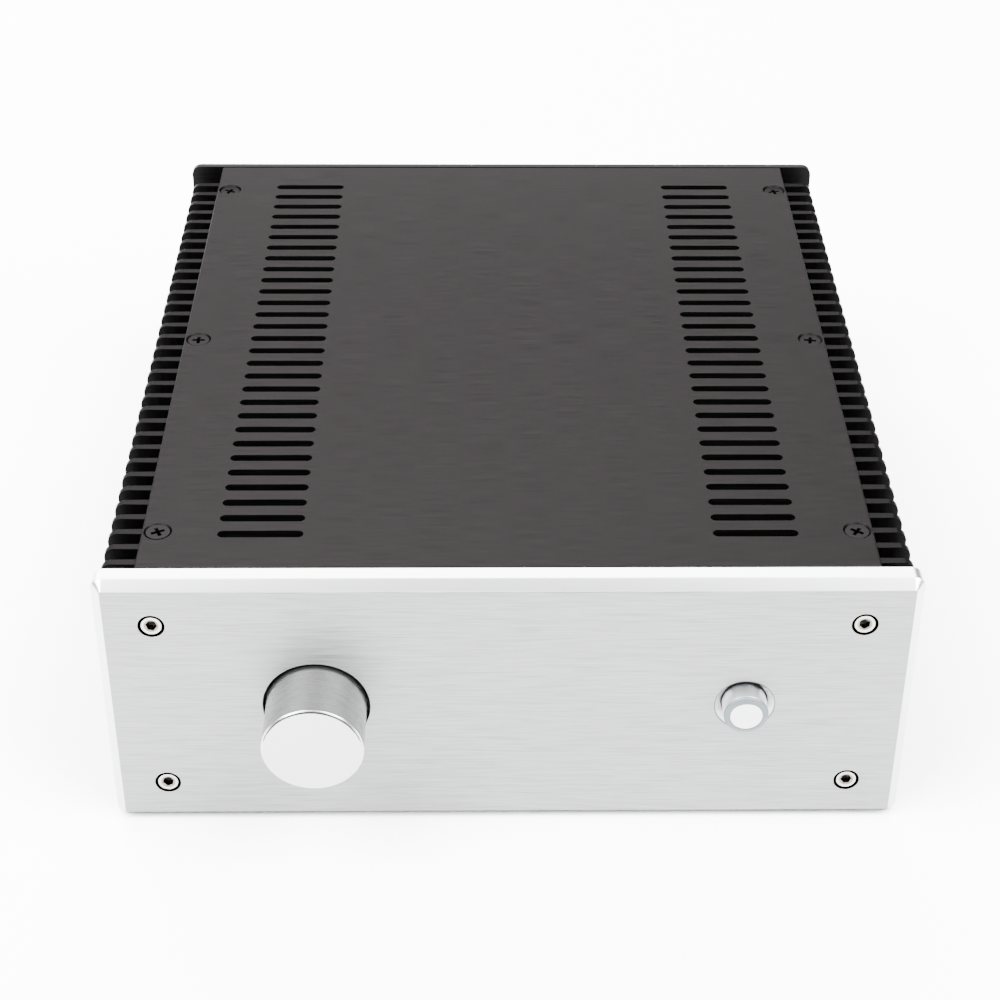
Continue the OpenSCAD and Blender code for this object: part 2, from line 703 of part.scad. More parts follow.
// Solder tags at the back of the switch
module switch_terminals() color("tan") for (x = [-1, 1], z = [-1, 1])
    translate([button_x + x * switch_tag_span / 2 - switch_tag_w / 2,
        front_y + bracket_y + bracket_t + switch_len, mid_z + z * switch_tag_span / 2 - switch_tag_h / 2])
        cube([switch_tag_w, switch_tag_len, switch_tag_h]);

// Bracket: a sheet folded to a hat section, with feet against the panel's back
module switch_bracket() color("silver") {
    leg = bracket_room / 2 + bracket_t;
    difference() {
        translate([button_x, inner_y, mid_z - bracket_h / 2]) linear_extrude(bracket_h) {
            translate([-leg, bracket_back]) square([2 * leg, bracket_t]);
            for (side = [0, 1]) mirror([side, 0]) {
                translate([leg - bracket_t, 0]) square([bracket_t, bracket_back + bracket_t]);
                translate([leg - bracket_t, 0]) square([bracket_t + bracket_foot, bracket_t]);
            }
        }
        translate([button_x, 0, 0]) hole_back(0, mid_z, switch_neck_d + snug_fit, bracket_y - eps,
            bracket_y + bracket_t + eps);
        for (side = [-1, 1]) hole_back(button_x + side * bracket_screw_x, mid_z,
            small_screw_d + small_screw_pass, front_t - eps, front_t + bracket_t + eps);
    }
}

module bracket_screws() color("silver") for (side = [-1, 1])
    translate([button_x + side * bracket_screw_x, inner_y + bracket_t, mid_z]) rotate([-90, 0, 0])
        difference() {
            rotate_extrude() polygon([[0, -bracket_t - bracket_screw_bite],
                [small_screw_d / 2, -bracket_t - bracket_screw_bite], [small_screw_d / 2, 0],
                [small_head_d / 2, 0], [small_head_d / 2, small_head_side],
                [small_head_d / 2 - small_head_edge, small_head_h], [0, small_head_h]]);
            translate([0, 0, small_head_h])
                cross_recess(small_recess, small_recess_arm, small_recess_depth);
        }

// Outline of the mains connector's cavity: two corners are cut off
module cavity_outline() polygon([[-cavity_w / 2, -cavity_h / 2], [cavity_w / 2, -cavity_h / 2],
    [cavity_w / 2, cavity_h / 2 - cavity_cut], [cavity_w / 2 - cavity_cut, cavity_h / 2],
    [cavity_cut - cavity_w / 2, cavity_h / 2], [-cavity_w / 2, cavity_h / 2 - cavity_cut]]);

// Places children at the inlet, with y = 0 on the rear panel's outer face
module at_inlet() translate([-inlet_x, rear_y, mid_z]) children();

// Places a blade's outline: the earth blade in the middle stands off the line of the other two
module at_blades() for (b = [[-blade_pitch, -blade_offset], [blade_pitch, -blade_offset], [0, blade_offset]])
    translate(b) children();

module inlet_housing() color("#232325") at_inlet() difference() {
    union() {
        upright(inlet_flange_t) {
            rounded_outline(inlet_w + 2 * inlet_lip, inlet_flange_h, inlet_flange_r);
            rounded_outline(inlet_screw_span + 2 * inlet_ear, inlet_ear_h, inlet_ear);
        }
        translate([0, inlet_back, 0]) upright(inlet_flange_t - inlet_back)
            rounded_outline(inlet_w, inlet_h, inlet_corner_r);
    }
    translate([0, inlet_flange_t - cavity_depth, 0]) upright(cavity_depth + eps) cavity_outline();
    translate([0, inlet_back - eps, 0]) upright(inlet_wall + 2 * eps) at_blades()
        square([blade_w + snug_fit, blade_h + snug_fit], center = true);
    for (side = [-1, 1]) translate([side * inlet_screw_span / 2, inlet_flange_t, 0]) rotate([-90, 0, 0])
        flat_screw_cut(small_flat_head_d, small_screw_d + small_screw_pass, 0, inlet_flange_t);
}

// Blades: three flat pins in the cavity that run through the housing's back to solder tags
module inlet_blades() color("silver") at_inlet() translate([0, inlet_back - blade_tail, 0])
    upright(blade_tail + inlet_wall + cavity_depth - blade_tip_depth) at_blades()
        square([blade_w, blade_h], center = true);

module inlet_screws() color("silver") at_inlet() for (side = [-1, 1])
    translate([side * inlet_screw_span / 2, inlet_flange_t, 0]) rotate([-90, 0, 0])
        flat_screw(small_flat_head_d, small_screw_d, inlet_flange_t + rear_t + inlet_screw_end);

module inlet_nuts() color("silver") at_inlet() for (side = [-1, 1])
    translate([side * inlet_screw_span / 2, -rear_t, 0]) rotate([90, 0, 0])
        hex_nut(small_nut_af, small_nut_t, small_screw_d + snug_fit);

// Places children on a signal socket's axis, with z = 0 on the rear panel's outer face, outwards
module at_phono(side) translate([-phono_x, rear_y, mid_z + side * phono_span / 2]) rotate([-90, 0, 0])
    children();

// Insulating bush: a rim outside the panel and a sleeve through it
module phono_insulator(side) at_phono(side) rotate_extrude()
    polygon([[phono_tail_d / 2 + phono_fit, -rear_t], [phono_bush_d / 2, -rear_t], [phono_bush_d / 2, 0],
        [phono_rim_d / 2, 0], [phono_rim_d / 2, phono_rim_t - phono_edge],
        [phono_rim_d / 2 - phono_edge, phono_rim_t], [phono_tail_d / 2 + phono_fit, phono_rim_t]]);

// Shell: a turned barrel outside, a flange on the bush and a threaded tail through it
module phono_shell(side) at_phono(side) rotate_extrude() {
    lip = phono_rim_t + phono_lip_t;
    tip = lip + phono_barrel;
    core_r = phono_core_d / 2;
    polygon([[core_r - phono_step, -rear_t - phono_tail], [phono_tail_d / 2, -rear_t - phono_tail],
        [phono_tail_d / 2, phono_rim_t], [phono_lip_d / 2, phono_rim_t], [phono_lip_d / 2, lip],
        [phono_barrel_d / 2, lip], [phono_barrel_d / 2, tip - phono_edge],
        [phono_barrel_d / 2 - phono_edge, tip], [core_r, tip], [core_r, lip], [core_r - phono_step, lip]]);
}

// Core: the plastic that holds the centre contact, with the hole for the plug's pin
module phono_core(side) at_phono(side) rotate_extrude() {
    lip = phono_rim_t + phono_lip_t;
    core_r = phono_core_d / 2 - phono_fit;
    back = -rear_t - phono_tail - phono_core_tail;
    face = lip + phono_barrel - phono_core_recess;
    polygon([[0, back], [core_r - phono_step, back], [core_r - phono_step, lip], [core_r, lip],
        [core_r, face], [phono_pin_d / 2, face], [phono_pin_d / 2, face - phono_pin_depth],
        [0, face - phono_pin_depth]]);
}

module phono_upper_shell() color("#c9b46a") phono_shell(1);
module phono_upper_insulator() color("white") phono_insulator(1);
module phono_upper_core() color("white") phono_core(1);
module phono_lower_shell() color("#c9b46a") phono_shell(-1);
module phono_lower_insulator() color("#b02020") phono_insulator(-1);
module phono_lower_core() color("#b02020") phono_core(-1);

// Insulating washers and nuts that clamp the signal sockets from inside
module phono_washers() color("#1e1e20") for (side = [-1, 1]) at_phono(side)
    translate([0, 0, -rear_t - phono_washer_t]) washer(phono_rim_d, phono_washer_t, phono_tail_d + snug_fit);
module phono_nuts() color("#c9b46a") for (side = [-1, 1]) at_phono(side)
    translate([0, 0, -rear_t - phono_washer_t - phono_nut_t])
        hex_nut(phono_nut_af, phono_nut_t, phono_tail_d + snug_fit);

// Collar: insulates a speaker terminal from the panel, outside it and in its hole
module post_collar(i) at_post(i) rotate([-90, 0, 0]) rotate_extrude()
    polygon([[post_stud_d / 2 + post_fit, -rear_t], [post_bush_d / 2, -rear_t], [post_bush_d / 2, 0],
        [post_collar_d / 2, 0], [post_collar_d / 2, post_collar_t - post_collar_edge],
        [post_collar_d / 2 - post_collar_edge, post_collar_t], [post_stud_d / 2 + post_fit, post_collar_t]]);

// Stud: the metal core of a terminal, with a cross hole for bare wire behind the cap
module post_stud(i) at_post(i) rotate([-90, 0, 0]) difference() {
    back = -rear_t - post_stud_in;
    rotate_extrude() polygon([[0, back], [post_stud_d / 2 - post_stud_edge, back],
        [post_stud_d / 2, back + post_stud_edge], [post_stud_d / 2, post_stud_out - post_stud_edge],
        [post_stud_d / 2 - post_stud_edge, post_stud_out], [0, post_stud_out]]);
    translate([0, 0, post_collar_t + post_wire_rise]) rotate([90, 0, 0])
        cylinder(h = post_stud_d + 2 * eps, d = post_stud_d * post_wire_share, center = true);
}

// Cap: screws down on the collar, fluted for the fingers, with a closed rounded end
module post_cap(i) at_post(i) rotate([-90, 0, 0]) translate([0, 0, post_collar_t + post_gap]) difference() {
    rotate_extrude() polygon([[0, 0], [post_cap_d / 2 - post_cap_edge, 0], [post_cap_d / 2, post_cap_edge],
        [post_cap_d / 2, post_cap_len - post_cap_round],
        [post_cap_d / 2 - post_cap_round * post_cap_shoulder,
            post_cap_len - post_cap_round * post_cap_shoulder],
        [post_cap_d / 2 - post_cap_round, post_cap_len], [0, post_cap_len]]);
    translate([0, 0, -eps]) cylinder(h = post_stud_out - post_collar_t + post_bore_spare + eps,
        d = post_stud_d + 2 * shaft_slack);
    for (a = [0 : flute_count - 1]) rotate([0, 0, a * 360 / flute_count])
        translate([post_cap_d / 2 + flute_out, 0, flute_start]) cylinder(h = post_cap_len, r = flute_r);
}

module post_1_collar() color("#b02020") post_collar(0);
module post_1_stud() color("#c9b46a") post_stud(0);
module post_1_cap() color("#b02020") post_cap(0);
module post_2_collar() color("#1e1e20") post_collar(1);
module post_2_stud() color("#c9b46a") post_stud(1);
module post_2_cap() color("#1e1e20") post_cap(1);
module post_3_collar() color("#1e1e20") post_collar(2);
module post_3_stud() color("#c9b46a") post_stud(2);
module post_3_cap() color("#1e1e20") post_cap(2);
module post_4_collar() color("#b02020") post_collar(3);
module post_4_stud() color("#c9b46a") post_stud(3);
module post_4_cap() color("#b02020") post_cap(3);

// Insulating washers and nuts that clamp the terminals from inside
module post_washers() color("#1e1e20") at_all_posts() translate([0, -rear_t, 0]) rotate([90, 0, 0])
    washer(post_collar_d - post_washer_in, post_washer_t, post_stud_d + loose_fit);
module post_nuts() color("#c9b46a") at_all_posts() translate([0, -rear_t - post_washer_t, 0])
    rotate([90, 0, 0]) hex_nut(post_stud_d + 2 * post_nut_wall, post_nut_t, post_stud_d + snug_fit);

front_panel();
rear_panel();
top_cover();
base_plate();
left_heatsink();
right_heatsink();
front_screws();
rear_screws();
cover_screws();
base_screws();
volume_knob();
knob_set_screw();
pot_shaft();
pot_body();
pot_washer();
pot_nut();
pot_terminals();
button_cap();
button_light_ring();
button_disc();
button_stem();
switch_body();
switch_nut();
switch_bracket();
bracket_screws();
switch_terminals();
inlet_housing();
inlet_blades();
inlet_screws();
inlet_nuts();
phono_upper_shell();
phono_upper_insulator();
phono_upper_core();
phono_lower_shell();
phono_lower_insulator();
phono_lower_core();
phono_washers();
phono_nuts();
post_1_collar();
post_1_stud();
post_1_cap();
post_2_collar();
post_2_stud();
post_2_cap();
post_3_collar();
post_3_stud();
post_3_cap();
post_4_collar();
post_4_stud();
post_4_cap();
post_washers();
post_nuts();
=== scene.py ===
# %% [markdown]
# # An amplifier enclosure in brushed and black aluminium
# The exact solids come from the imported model. This script gives each of them its finish, models
# the small turned pieces and screw heads that catch the light, and sets up the camera and lights.

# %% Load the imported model
import json
import math

import bmesh
import bpy
from mathutils import Matrix, Vector

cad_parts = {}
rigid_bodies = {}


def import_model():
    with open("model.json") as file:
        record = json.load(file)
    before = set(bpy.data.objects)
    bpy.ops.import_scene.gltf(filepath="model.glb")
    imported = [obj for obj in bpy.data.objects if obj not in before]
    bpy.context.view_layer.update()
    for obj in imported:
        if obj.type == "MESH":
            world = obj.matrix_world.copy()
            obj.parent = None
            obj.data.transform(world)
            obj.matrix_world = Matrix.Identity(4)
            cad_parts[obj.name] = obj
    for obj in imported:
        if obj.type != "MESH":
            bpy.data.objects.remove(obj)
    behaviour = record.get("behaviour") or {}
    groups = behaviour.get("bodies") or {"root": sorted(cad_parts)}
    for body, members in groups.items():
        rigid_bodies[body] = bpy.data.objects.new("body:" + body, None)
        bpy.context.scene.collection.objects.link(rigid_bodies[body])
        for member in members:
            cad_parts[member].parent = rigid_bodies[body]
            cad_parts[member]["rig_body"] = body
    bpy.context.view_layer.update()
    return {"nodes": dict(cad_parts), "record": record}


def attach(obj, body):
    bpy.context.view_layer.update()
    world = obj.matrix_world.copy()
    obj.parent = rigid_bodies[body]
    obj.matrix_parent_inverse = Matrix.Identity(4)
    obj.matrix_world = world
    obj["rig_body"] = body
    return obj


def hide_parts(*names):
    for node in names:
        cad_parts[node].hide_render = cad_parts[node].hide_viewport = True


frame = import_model()
MM = 0.001

# %% [markdown]
# The camera comes from the photograph's own edges, solved for position, tilt and focal length. The
# picture's middle is a little off the lens axis, so the camera has a small shift.

# %% Camera
FRONT_Y = -135.5 * MM
TILT, TURN, ROLL = math.radians(34.11), math.radians(-1.15), math.radians(0.57)
SENSOR = 36.0
FOCAL_PIXELS, PICTURE = 2168.15, 1000
CENTRE_X, CENTRE_Y = 520.0, 472.6

right = Vector((math.cos(TURN), math.sin(TURN), 0))
ahead = Vector((-math.sin(TURN) * math.cos(TILT), math.cos(TURN) * math.cos(TILT), -math.sin(TILT)))
upward = right.cross(ahead)
rolled_right = right * math.cos(ROLL) + upward * math.sin(ROLL)
rolled_up = upward * math.cos(ROLL) - right * math.sin(ROLL)
place = Matrix((rolled_right, rolled_up, -ahead)).transposed().to_4x4()
place.translation = Vector((-7.20, -629.51, 463.15)) * MM

camera_data = bpy.data.cameras.new("studio_camera")
camera_data.sensor_width = SENSOR
camera_data.lens = FOCAL_PIXELS / PICTURE * SENSOR
camera_data.shift_x = (PICTURE / 2 - CENTRE_X) / PICTURE
camera_data.shift_y = (CENTRE_Y - PICTURE / 2) / PICTURE
camera_data.clip_start, camera_data.clip_end = 0.01, 50
camera = bpy.data.objects.new("studio_camera", camera_data)
camera.matrix_world = place
bpy.context.scene.collection.objects.link(camera)
bpy.context.scene.camera = camera
print("lens mm:", round(camera_data.lens, 2), "shift:", round(camera_data.shift_x, 4), round(camera_data.shift_y, 4))

# %% [markdown]
# A metal's finish is mostly its grain. Brushing leaves long thin scratches, so the pattern is noise
# that is stretched along one direction. The same helper serves brushed, extruded and cast looks: only
# the stretch and the strength change. It reads Object coordinates, so the grain stays on the piece.

# %% Helpers for finishes
finishes = {}
# painted shade: faces that carry this mark have their colour blended towards near black
PAINTED_SHADE_MARK = "hollow"
PAINTED_SHADE_COLOUR = (0.003, 0.003, 0.003, 1)


def link(material, source, target):
    material.node_tree.links.new(source, target)


def plain_shader(name, metallic, roughness, **sockets):
    """A material with its shader, and the sockets that are the same all over set on it."""
    material = bpy.data.materials.new(name + "_finish")
    material.use_nodes = True
    finishes[name] = material
    shader = material.node_tree.nodes["Principled BSDF"]
    shader.inputs["Metallic"].default_value = metallic
    shader.inputs["Roughness"].default_value = roughness
    for socket, value in sockets.items():
        shader.inputs[socket.replace("_", " ")].default_value = value
    return material, shader


def noise_on(material, vector, detail, rough=0.6):
    noise = material.node_tree.nodes.new("ShaderNodeTexNoise")
    noise.inputs["Scale"].default_value = 1.0
    noise.inputs["Detail"].default_value = detail
    noise.inputs["Roughness"].default_value = rough
    link(material, vector, noise.inputs["Vector"])
    return noise.outputs["Fac"]


def stretched(material, scale, centre=(0, 0, 0)):
    """Object coordinates, centred on a point and scaled on each axis."""
    nodes = material.node_tree.nodes
    where = nodes.new("ShaderNodeTexCoord")
    mapping = nodes.new("ShaderNodeMapping")
    mapping.inputs["Location"].default_value = [-c * s for c, s in zip(centre, scale)]
    mapping.inputs["Scale"].default_value = scale
    link(material, where.outputs["Object"], mapping.inputs["Vector"])
    return mapping.outputs["Vector"]


def remap(material, value, low, high):
    ranged = material.node_tree.nodes.new("ShaderNodeMapRange")
    ranged.inputs["From Min"].default_value = 0.3
    ranged.inputs["From Max"].default_value = 0.7
    ranged.inputs["To Min"].default_value = low
    ranged.inputs["To Max"].default_value = high
    link(material, value, ranged.inputs["Value"])
    return ranged.outputs["Result"]


def blend(material, factor, low, high, kind="RGBA"):
    """Mixes two colours, or two numbers, each given as a value or as a socket to read."""
    mix = material.node_tree.nodes.new("ShaderNodeMix")
    mix.data_type = kind
    first, second, result = (6, 7, 2) if kind == "RGBA" else (2, 3, 0)
    for place, source in ((0, factor), (first, low), (second, high)):
        if isinstance(source, bpy.types.NodeSocket):
            link(material, source, mix.inputs[place])
        else:
            mix.inputs[place].default_value = source
    return mix.outputs[result]


def coloured(material, shader, colour):
    """Sets the colour, which goes to near black as painted shade on faces that carry the shade mark."""
    mark = material.node_tree.nodes.new("ShaderNodeAttribute")
    mark.attribute_name = PAINTED_SHADE_MARK
    link(material, blend(material, mark.outputs["Fac"], colour, PAINTED_SHADE_COLOUR), shader.inputs["Base Color"])


def relief(material, shader, height, strength, depth):
    bump = material.node_tree.nodes.new("ShaderNodeBump")
    bump.inputs["Strength"].default_value = strength
    bump.inputs["Distance"].default_value = depth
    link(material, height, bump.inputs["Height"])
    link(material, bump.outputs["Normal"], shader.inputs["Normal"])


def behind(material, y, width):
    """Zero in front of a plane across Y and one behind it."""
    nodes = material.node_tree.nodes
    where, split, ranged = (nodes.new("ShaderNode" + kind) for kind in ("TexCoord", "SeparateXYZ", "MapRange"))
    link(material, where.outputs["Object"], split.inputs["Vector"])
    link(material, split.outputs["Y"], ranged.inputs["Value"])
    ranged.inputs["From Min"].default_value = y
    ranged.inputs["From Max"].default_value = y + width
    return ranged.outputs["Result"]


def shades(colour, spread):
    return (*[c * (1 - spread) for c in colour], 1), (*[min(1, c * (1 + spread)) for c in colour], 1)


def grained(name, colour, metallic, roughness, stretch, spread, strength, depth=0.02 * MM,
            rough_spread=0.15, clouds=0.0, **sockets):
    """Colour, roughness and relief from one stretched noise, with a broad soft variation under it."""
    material, shader = plain_shader(name, metallic, roughness, **sockets)
    grain = noise_on(material, stretched(material, stretch), detail=5)
    broad = noise_on(material, stretched(material, (9, 9, 9)), detail=2)
    total = material.node_tree.nodes.new("ShaderNodeMath")
    total.operation = "MULTIPLY_ADD"
    link(material, broad, total.inputs[0])
    total.inputs[1].default_value = clouds
    link(material, grain, total.inputs[2])
    coloured(material, shader, blend(material, remap(material, total.outputs[0], 0, 1), *shades(colour, spread)))
    link(material, remap(material, grain, roughness * (1 - rough_spread), roughness * (1 + rough_spread)),
         shader.inputs["Roughness"])
    relief(material, shader, grain, strength, depth)
    return material


def turned(name, colour, centre, roughness, spread, strength, rings=2600, metallic=1.0, **sockets):
    """Grain that runs round an axis along Y, as a lathe leaves it: noise on the radius and the depth."""
    material, shader = plain_shader(name, metallic, roughness, **sockets)
    nodes = material.node_tree.nodes
    split = nodes.new("ShaderNodeSeparateXYZ")
    link(material, stretched(material, (1, 1, 1), centre), split.inputs["Vector"])
    flat = nodes.new("ShaderNodeCombineXYZ")
    link(material, split.outputs["X"], flat.inputs["X"])
    link(material, split.outputs["Z"], flat.inputs["Z"])
    radius = nodes.new("ShaderNodeVectorMath")
    radius.operation = "LENGTH"
    link(material, flat.outputs["Vector"], radius.inputs[0])
    rows = nodes.new("ShaderNodeCombineXYZ")
    link(material, radius.outputs["Value"], rows.inputs["X"])
    link(material, split.outputs["Y"], rows.inputs["Y"])
    scaled = nodes.new("ShaderNodeVectorMath")
    scaled.operation = "SCALE"
    scaled.inputs["Scale"].default_value = rings
    link(material, rows.outputs["Vector"], scaled.inputs[0])
    grain = noise_on(material, scaled.outputs["Vector"], detail=4)
    coloured(material, shader, blend(material, remap(material, grain, 0, 1), *shades(colour, spread)))
    link(material, remap(material, grain, roughness * 0.85, roughness * 1.15), shader.inputs["Roughness"])
    relief(material, shader, grain, strength, 0.02 * MM)
    return material


# %% [markdown]
# The front panel and the cover were brushed from side to side before anodising, so their noise is
# long in X. A heat sink is pushed through a die along its height, which leaves faint lines in Z.

# %% Finishes of the case
ALONG_X = (70, 2600, 2600)
ALONG_Z = (900, 900, 30)
FINE_ALL_ROUND = (2200, 2200, 2200)
BLACK_EDGE = (0.47, 0.47, 0.47, 1)
SOFT_GLOSS = 0.15
panel = grained("silver_panel", (0.172, 0.175, 0.176), 1.0, 0.52, ALONG_X, 0.30, 0.6,
               depth=0.04 * MM, clouds=0.1)
grained("black_cover", (0.0074, 0.0069, 0.0070), 1.0, 0.46, ALONG_X, 0.30, 0.3, depth=0.02 * MM,
        Specular_Tint=BLACK_EDGE)
grained("black_panel", (0.0100, 0.0095, 0.0096), 1.0, 0.45, ALONG_X, 0.12, 0.3, Specular_Tint=BLACK_EDGE)
grained("black_heatsink", (0.0060, 0.0057, 0.0058), 1.0, 0.46, ALONG_Z, 0.14, 0.3, Specular_Tint=BLACK_EDGE)
grained("steel_screw", (0.34, 0.325, 0.295), 1.0, 0.22, FINE_ALL_ROUND, 0.10, 0.10)
grained("black_screw", (0.0070, 0.0066, 0.0067), 1.0, 0.38, FINE_ALL_ROUND, 0.2, 0.15, Specular_Tint=BLACK_EDGE)
grained("steel_part", (0.46, 0.47, 0.48), 1.0, 0.32, FINE_ALL_ROUND, 0.10, 0.10)
grained("tinned_tag", (0.55, 0.52, 0.43), 1.0, 0.34, FINE_ALL_ROUND, 0.12, 0.12)
grained("gold_plate", (0.62, 0.49, 0.22), 1.0, 0.20, FINE_ALL_ROUND, 0.06, 0.06)
grained("black_plastic", (0.006, 0.006, 0.0065), 0.0, 0.40, FINE_ALL_ROUND, 0.15, 0.25,
        Specular_IOR_Level=SOFT_GLOSS)
grained("red_plastic", (0.10, 0.004, 0.004), 0.0, 0.34, FINE_ALL_ROUND, 0.10, 0.20,
        Specular_IOR_Level=SOFT_GLOSS)
grained("white_plastic", (0.55, 0.55, 0.53), 0.0, 0.38, FINE_ALL_ROUND, 0.04, 0.20)
grained("frosted_ring", (0.049, 0.063, 0.071), 0.0, 0.45, FINE_ALL_ROUND, 0.05, 0.15,
        Subsurface_Weight=0.25, Subsurface_Radius=(0.002, 0.002, 0.002))

# %% [markdown]
# The panel's bevels and edges were milled after the face was brushed, so they are brighter and
# smoother. Their colour is also set far lighter than the face's, and it covers the top and sides too:
# the face's darker colour is partly painted shade for the front face, which gets less light. One
# material holds both looks and tells them apart by the depth behind the face.

# %% The panel's milled edges, with painted shade on its face
MILLED_AND_LIT_COLOUR, MILLED_ROUGHNESS = (0.46, 0.465, 0.47, 1), 0.30
BRUSHED_RELIEF, MILLED_RELIEF = 0.6, 0.03
EDGE_STARTS = 0.15 * MM
shader = panel.node_tree.nodes["Principled BSDF"]
edge = behind(panel, FRONT_Y + EDGE_STARTS, 0.2 * MM)
to_hollow = shader.inputs["Base Color"].links[0].from_node
brushed = to_hollow.inputs[6].links[0].from_socket
# the face keeps its darker colour as painted shade, while edges, top and sides take the lighter one
link(panel, blend(panel, edge, brushed, MILLED_AND_LIT_COLOUR), to_hollow.inputs[6])
brushed = shader.inputs["Roughness"].links[0].from_socket
link(panel, blend(panel, edge, brushed, MILLED_ROUGHNESS, "FLOAT"), shader.inputs["Roughness"])
bump = shader.inputs["Normal"].links[0].from_node
link(panel, blend(panel, edge, BRUSHED_RELIEF, MILLED_RELIEF, "FLOAT"), bump.inputs["Strength"])
print("milled edges start", round(EDGE_STARTS / MM, 2), "mm behind the face")

# %% [markdown]
# Turned pieces carry rings. The noise reads the distance from the piece's own axis, so the grain
# runs round it as the lathe's tool did.

# %% Finishes of the knob and the button
KNOB = Vector((-56.9 * MM, FRONT_Y, 45 * MM))
BUTTON = Vector((70.2 * MM, FRONT_Y, 45 * MM))
turned("turned_knob", (0.39, 0.39, 0.39), KNOB, 0.27, 0.03, 0.04, rings=6000)
turned("turned_button", (0.72, 0.74, 0.75), BUTTON, 0.32, 0.05, 0.06, rings=6000)
turned("polished_disc", (0.48, 0.48, 0.49), BUTTON, 0.20, 0.03, 0.04, rings=6000)

slot_of = {s["node"]: s["material_slot"] for s in frame["record"]["subparts"]}
for node, solid in frame["nodes"].items():
    solid.data.materials.clear()
    solid.data.materials.append(finishes[slot_of[node]])
print("finishes:", len(finishes), "solids dressed:", len(slot_of))

# %% [markdown]
# No edge on a real machined piece is perfectly sharp: each is broken by a tenth or two of a
# millimetre, and that thin band is what shines. A shader could fake it, but a printed or exported
# piece would lose it. So a copy of the solid is welded and its edges are bevelled for real.

# %% Helpers for pieces
def only(piece):
    """Leaves one piece selected and active."""
    if bpy.context.mode != "OBJECT":
        bpy.ops.object.mode_set(mode="OBJECT")
    bpy.ops.object.select_all(action="DESELECT")
    piece.hide_set(False)
    piece.select_set(True)
    bpy.context.view_layer.objects.active = piece


def apply_modifier(piece, kind, **settings):
    only(piece)
    modifier = piece.modifiers.new(kind.lower(), kind)
    for name, value in settings.items():
        setattr(modifier, name, value)
    bpy.ops.object.modifier_apply(modifier=modifier.name)


def mark_hollow(piece, test, darkness=1.0):
    """Writes how much painted shade a face gets, for faces whose middle and normal pass the test."""
    mark = piece.data.attributes.get(PAINTED_SHADE_MARK) or piece.data.attributes.new(PAINTED_SHADE_MARK, "FLOAT", "FACE")
    found = [face.index for face in piece.data.polygons if test(face.center, face.normal)]
    for index in found:
        mark.data[index].value = darkness
    print(piece.name, "faces in hollows:", len(found))


def within(point, axis, radius, height="z"):
    """Whether a point lies within a radius of an axis, seen across X and one other direction."""
    return math.hypot(point.x - axis.x, getattr(point, height) - getattr(axis, height)) < radius


def even_shading(piece, angle=50):
    """Smooth across the broken edges while the large faces stay flat."""
    only(piece)
    bpy.ops.object.shade_smooth_by_angle(angle=math.radians(angle))
    apply_modifier(piece, "WEIGHTED_NORMAL", keep_sharp=True, weight=80)


def broken_edges(piece, width, segments=2, angle=30):
    apply_modifier(piece, "BEVEL", width=width, segments=segments, limit_method="ANGLE",
                   angle_limit=math.radians(angle), use_clamp_overlap=True)


def settle(piece, body, nodes, finish):
    """Gives a finished piece its finish and body, and lets it stand for its solids."""
    only(piece)
    bpy.ops.object.transform_apply(location=True, rotation=True, scale=True)
    piece.data.materials.clear()
    piece.data.materials.append(finishes[finish])
    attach(piece, body)
    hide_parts(*nodes)
    print(piece.name, "faces:", len(piece.data.polygons))
    return piece


def softened(node, width, segments=2, angle=30, smooth=50):
    """A welded copy of a solid, with its edges broken."""
    solid = frame["nodes"][node]
    piece = bpy.data.objects.new(node + "_softened", solid.data.copy())
    bpy.context.scene.collection.objects.link(piece)
    only(piece)
    bpy.ops.object.mode_set(mode="EDIT")
    bpy.ops.mesh.select_all(action="SELECT")
    bpy.ops.mesh.remove_doubles(threshold=0.001 * MM)
    bpy.ops.mesh.dissolve_limited(angle_limit=math.radians(0.5))
    bpy.ops.object.mode_set(mode="OBJECT")
    broken_edges(piece, width, segments, angle)
    even_shading(piece, smooth)
    return settle(piece, solid["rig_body"], [node], slot_of[node])


# %% Break the edges of the case
front = softened("front_panel", 0.18 * MM)
cover = softened("top_cover", 0.12 * MM, smooth=12)
softened("base_plate", 0.12 * MM, smooth=12)
rear = softened("rear_panel", 0.12 * MM)
softened("inlet_housing", 0.2 * MM)
sinks = [softened(node, 0.15 * MM) for node in ("left_heatsink", "right_heatsink")]

# %% [markdown]
# Light that enters a narrow gap between metal walls is swallowed after a few bounces, and a clean render
# keeps more of it than real metal does. So shade is painted in: faces inside gaps, holes and recesses, and a
# few faces that sit in shadow, carry a mark, and their finish reads it and goes near black. The mark is stored on
# the faces, so it travels with the piece.

# %% Paint shade into the gaps and holes
SCREW_X, SCREW_LOW, SCREW_HIGH = 103.25 * MM, 15 * MM, 75 * MM
PLATE_SCREW_Y = [-109.3 * MM, 1.7 * MM, 112.7 * MM]
TOP, PANEL_T, MOUTH, MOUTH_R = 90 * MM, 8 * MM, 2 * MM, 9 * MM
SINK_SIDE = 108 * MM
panel_screws = [Vector((x, FRONT_Y, z)) for x in (-SCREW_X, SCREW_X) for z in (SCREW_LOW, SCREW_HIGH)]
plate_screws = [Vector((x, y, TOP)) for x in (-SCREW_X, SCREW_X) for y in PLATE_SCREW_Y]


def inside_panel(point, axis, radius, start):
    return within(point, axis, radius) and FRONT_Y + start < point.y < FRONT_Y + PANEL_T - 0.05 * MM
